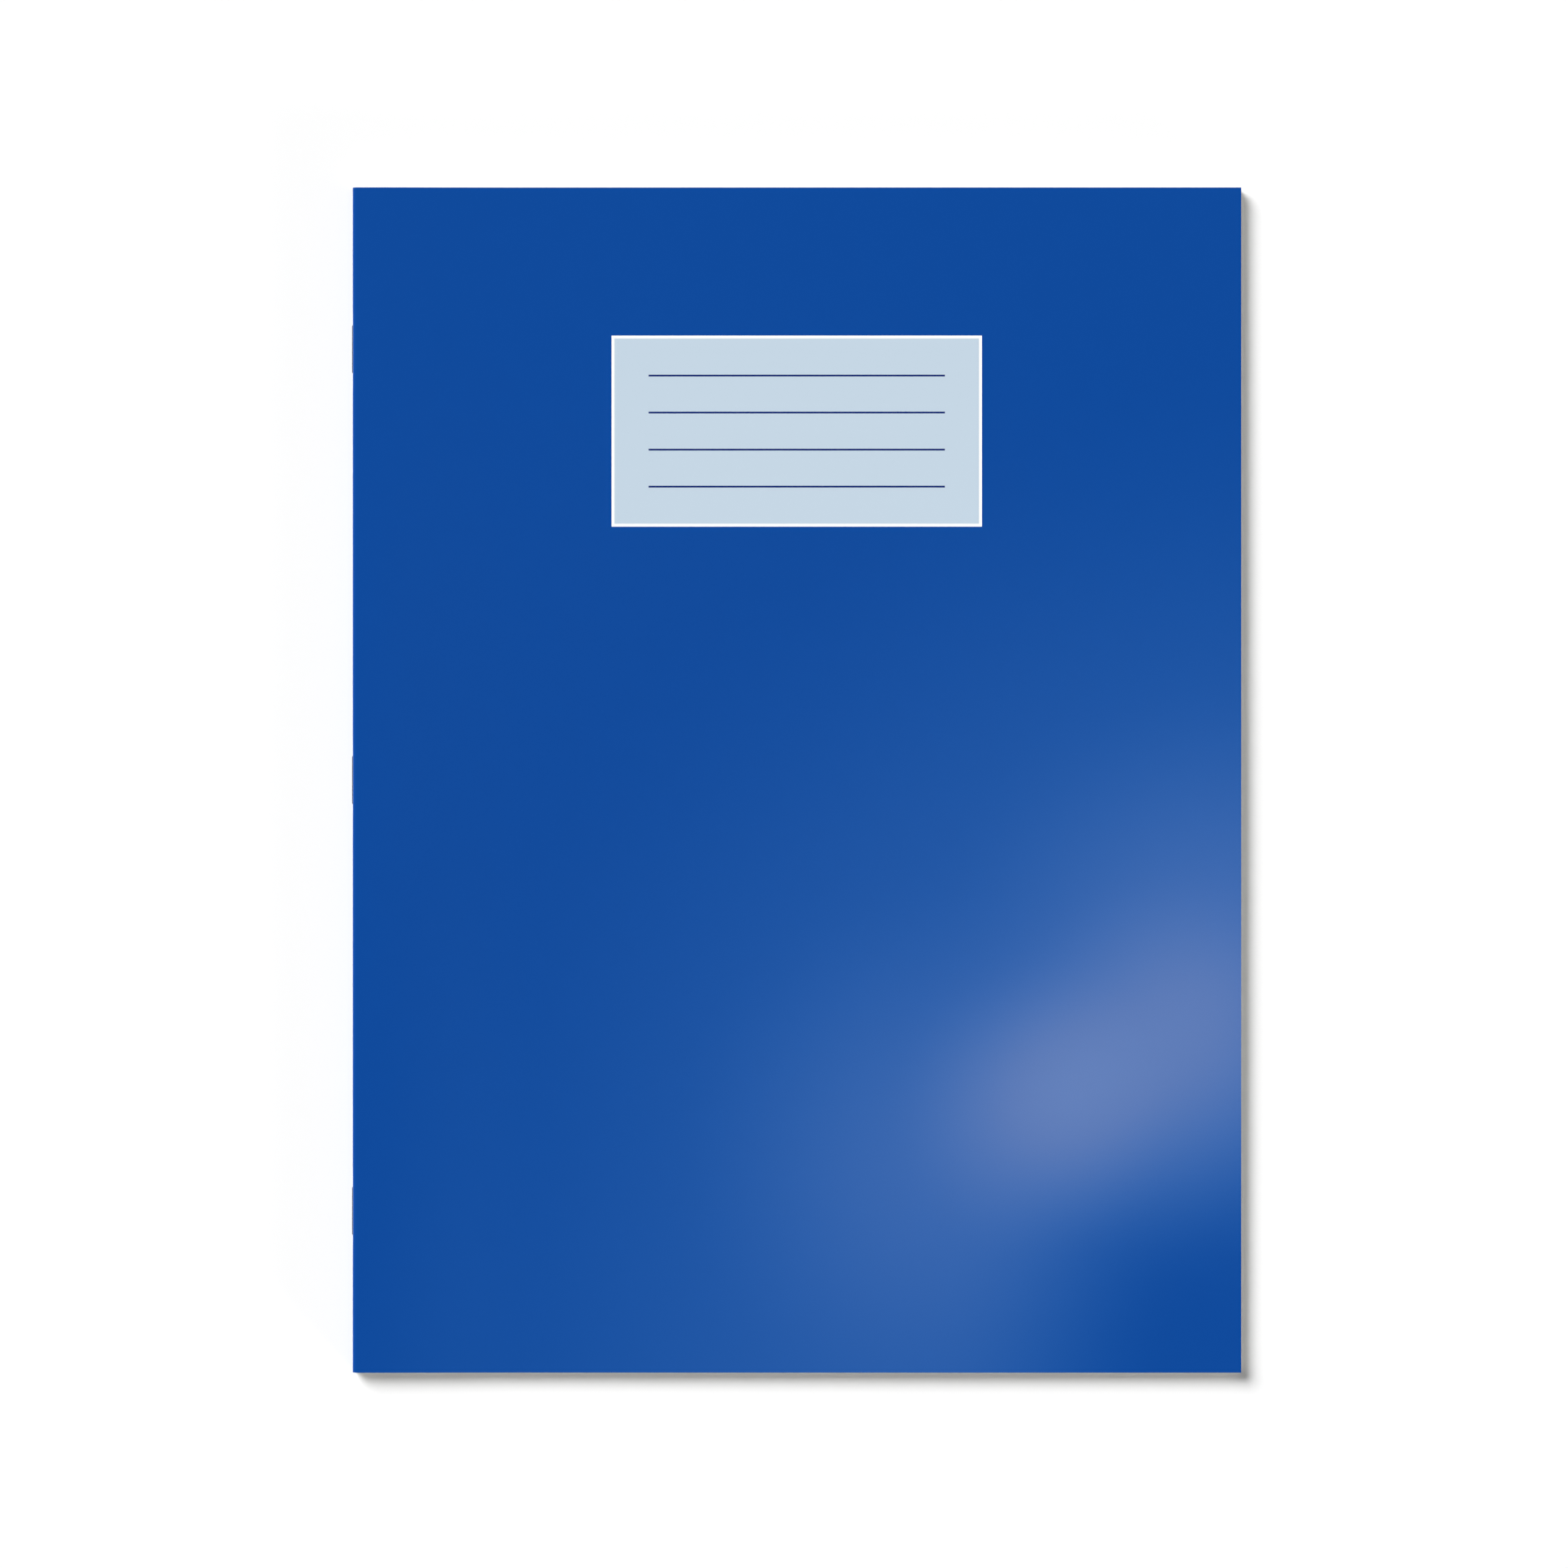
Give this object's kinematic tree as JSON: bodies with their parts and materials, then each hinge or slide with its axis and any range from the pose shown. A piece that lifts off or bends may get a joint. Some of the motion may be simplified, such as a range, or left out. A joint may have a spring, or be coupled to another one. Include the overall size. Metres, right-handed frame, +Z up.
{
  "type": "stapled exercise book",
  "caption": "Closed stapled exercise book: folded card cover with a name panel, nested folded ruled sheets and wire staples through the fold; the cover opens and the pages open at the middle.",
  "frame": {"origin": "on the table, under the middle of the closed book", "axes": "+X from the spine to the fore edge, +Y towards the head of the book, +Z up out of the front cover"},
  "size_m": [0.2403, 0.32, 0.0044],
  "materials": {
    "cover_card": "blue ink under gloss film outside, bare white card inside",
    "paper": "uncoated, feint ruled",
    "staple_wire": "galvanised"
  },
  "bodies": {
    "back_half": {"back_cover": "cover_card", "sheet_01_back_leaf": "paper", "sheet_02_back_leaf": "paper", "sheet_03_back_leaf": "paper", "sheet_04_back_leaf": "paper", "sheet_05_back_leaf": "paper", "sheet_06_back_leaf": "paper", "sheet_07_back_leaf": "paper", "sheet_08_back_leaf": "paper", "sheet_09_back_leaf": "paper", "sheet_10_back_leaf": "paper", "sheet_11_back_leaf": "paper", "sheet_12_back_leaf": "paper", "sheet_13_back_leaf": "paper", "sheet_14_back_leaf": "paper", "sheet_15_back_leaf": "paper", "sheet_16_back_leaf": "paper"},
    "spine": {"cover_spine": "cover_card", "sheet_01_fold": "paper", "sheet_02_fold": "paper", "sheet_03_fold": "paper", "sheet_04_fold": "paper", "sheet_05_fold": "paper", "sheet_06_fold": "paper", "sheet_07_fold": "paper", "sheet_08_fold": "paper", "sheet_09_fold": "paper", "sheet_10_fold": "paper", "sheet_11_fold": "paper", "sheet_12_fold": "paper", "sheet_13_fold": "paper", "sheet_14_fold": "paper", "sheet_15_fold": "paper", "sheet_16_fold": "paper", "staple_tail": "staple_wire", "staple_middle": "staple_wire", "staple_head": "staple_wire"},
    "front_leaf_01": {"sheet_01_front_leaf": "paper"},
    "front_leaf_02": {"sheet_02_front_leaf": "paper"},
    "front_leaf_03": {"sheet_03_front_leaf": "paper"},
    "front_leaf_04": {"sheet_04_front_leaf": "paper"},
    "front_leaf_05": {"sheet_05_front_leaf": "paper"},
    "front_leaf_06": {"sheet_06_front_leaf": "paper"},
    "front_leaf_07": {"sheet_07_front_leaf": "paper"},
    "front_leaf_08": {"sheet_08_front_leaf": "paper"},
    "front_leaf_09": {"sheet_09_front_leaf": "paper"},
    "front_leaf_10": {"sheet_10_front_leaf": "paper"},
    "front_leaf_11": {"sheet_11_front_leaf": "paper"},
    "front_leaf_12": {"sheet_12_front_leaf": "paper"},
    "front_leaf_13": {"sheet_13_front_leaf": "paper"},
    "front_leaf_14": {"sheet_14_front_leaf": "paper"},
    "front_leaf_15": {"sheet_15_front_leaf": "paper"},
    "front_leaf_16": {"sheet_16_front_leaf": "paper"},
    "front_cover": {"front_cover": "cover_card"}
  },
  "joints": [
    {"name": "front_leaf_01_turn", "type": "hinge", "parent": "back_half", "child": "front_leaf_01", "pos_m": [-0.11782, 0, 0.00217], "axis": [0, -1, 0], "range_deg": [0, 179.9], "deforming": ["cover_spine", "sheet_01_fold", "sheet_02_fold", "sheet_03_fold", "sheet_04_fold", "sheet_05_fold", "sheet_06_fold", "sheet_07_fold", "sheet_08_fold", "sheet_09_fold", "sheet_10_fold", "sheet_11_fold", "sheet_12_fold", "sheet_13_fold", "sheet_14_fold", "sheet_15_fold", "sheet_16_fold"]},
    {"name": "front_leaf_02_turn", "type": "hinge", "parent": "back_half", "child": "front_leaf_02", "pos_m": [-0.11782, 0, 0.00217], "axis": [0, -1, 0], "range_deg": [0, 179.65]},
    {"name": "front_leaf_03_turn", "type": "hinge", "parent": "back_half", "child": "front_leaf_03", "pos_m": [-0.11782, 0, 0.00217], "axis": [0, -1, 0], "range_deg": [0, 179.4]},
    {"name": "front_leaf_04_turn", "type": "hinge", "parent": "back_half", "child": "front_leaf_04", "pos_m": [-0.11782, 0, 0.00217], "axis": [0, -1, 0], "range_deg": [0, 179.15]},
    {"name": "front_leaf_05_turn", "type": "hinge", "parent": "back_half", "child": "front_leaf_05", "pos_m": [-0.11782, 0, 0.00217], "axis": [0, -1, 0], "range_deg": [0, 178.9]},
    {"name": "front_leaf_06_turn", "type": "hinge", "parent": "back_half", "child": "front_leaf_06", "pos_m": [-0.11782, 0, 0.00217], "axis": [0, -1, 0], "range_deg": [0, 178.65]},
    {"name": "front_leaf_07_turn", "type": "hinge", "parent": "back_half", "child": "front_leaf_07", "pos_m": [-0.11782, 0, 0.00217], "axis": [0, -1, 0], "range_deg": [0, 178.4]},
    {"name": "front_leaf_08_turn", "type": "hinge", "parent": "back_half", "child": "front_leaf_08", "pos_m": [-0.11782, 0, 0.00217], "axis": [0, -1, 0], "range_deg": [0, 178.15]},
    {"name": "front_leaf_09_turn", "type": "hinge", "parent": "back_half", "child": "front_leaf_09", "pos_m": [-0.11782, 0, 0.00217], "axis": [0, -1, 0], "range_deg": [0, 177.9]},
    {"name": "front_leaf_10_turn", "type": "hinge", "parent": "back_half", "child": "front_leaf_10", "pos_m": [-0.11782, 0, 0.00217], "axis": [0, -1, 0], "range_deg": [0, 177.65]},
    {"name": "front_leaf_11_turn", "type": "hinge", "parent": "back_half", "child": "front_leaf_11", "pos_m": [-0.11782, 0, 0.00217], "axis": [0, -1, 0], "range_deg": [0, 177.4]},
    {"name": "front_leaf_12_turn", "type": "hinge", "parent": "back_half", "child": "front_leaf_12", "pos_m": [-0.11782, 0, 0.00217], "axis": [0, -1, 0], "range_deg": [0, 177.15]},
    {"name": "front_leaf_13_turn", "type": "hinge", "parent": "back_half", "child": "front_leaf_13", "pos_m": [-0.11782, 0, 0.00217], "axis": [0, -1, 0], "range_deg": [0, 176.9]},
    {"name": "front_leaf_14_turn", "type": "hinge", "parent": "back_half", "child": "front_leaf_14", "pos_m": [-0.11782, 0, 0.00217], "axis": [0, -1, 0], "range_deg": [0, 176.65]},
    {"name": "front_leaf_15_turn", "type": "hinge", "parent": "back_half", "child": "front_leaf_15", "pos_m": [-0.11782, 0, 0.00217], "axis": [0, -1, 0], "range_deg": [0, 176.4]},
    {"name": "front_leaf_16_turn", "type": "hinge", "parent": "back_half", "child": "front_leaf_16", "pos_m": [-0.11782, 0, 0.00217], "axis": [0, -1, 0], "range_deg": [0, 176.15]},
    {"name": "spine_swing", "type": "hinge", "parent": "back_half", "child": "spine", "pos_m": [-0.11782, 0, 0.00217], "axis": [0, -1, 0], "range_deg": [0, 90]},
    {"name": "front_cover_turn", "type": "hinge", "parent": "front_leaf_01", "child": "front_cover", "pos_m": [-0.11782, 0, 0.00445], "axis": [0, -1, 0], "range_deg": [0, 179.9]}
  ],
  "couplings": [
    {"joint": "front_leaf_02_turn", "follows": "front_leaf_01_turn", "ratio": 0.99861},
    {"joint": "front_leaf_03_turn", "follows": "front_leaf_01_turn", "ratio": 0.99722},
    {"joint": "front_leaf_04_turn", "follows": "front_leaf_01_turn", "ratio": 0.99583},
    {"joint": "front_leaf_05_turn", "follows": "front_leaf_01_turn", "ratio": 0.99444},
    {"joint": "front_leaf_06_turn", "follows": "front_leaf_01_turn", "ratio": 0.99305},
    {"joint": "front_leaf_07_turn", "follows": "front_leaf_01_turn", "ratio": 0.99166},
    {"joint": "front_leaf_08_turn", "follows": "front_leaf_01_turn", "ratio": 0.99027},
    {"joint": "front_leaf_09_turn", "follows": "front_leaf_01_turn", "ratio": 0.98888},
    {"joint": "front_leaf_10_turn", "follows": "front_leaf_01_turn", "ratio": 0.98749},
    {"joint": "front_leaf_11_turn", "follows": "front_leaf_01_turn", "ratio": 0.9861},
    {"joint": "front_leaf_12_turn", "follows": "front_leaf_01_turn", "ratio": 0.98471},
    {"joint": "front_leaf_13_turn", "follows": "front_leaf_01_turn", "ratio": 0.98332},
    {"joint": "front_leaf_14_turn", "follows": "front_leaf_01_turn", "ratio": 0.98193},
    {"joint": "front_leaf_15_turn", "follows": "front_leaf_01_turn", "ratio": 0.98054},
    {"joint": "front_leaf_16_turn", "follows": "front_leaf_01_turn", "ratio": 0.97915},
    {"joint": "spine_swing", "follows": "front_leaf_01_turn", "ratio": 0.5}
  ]
}
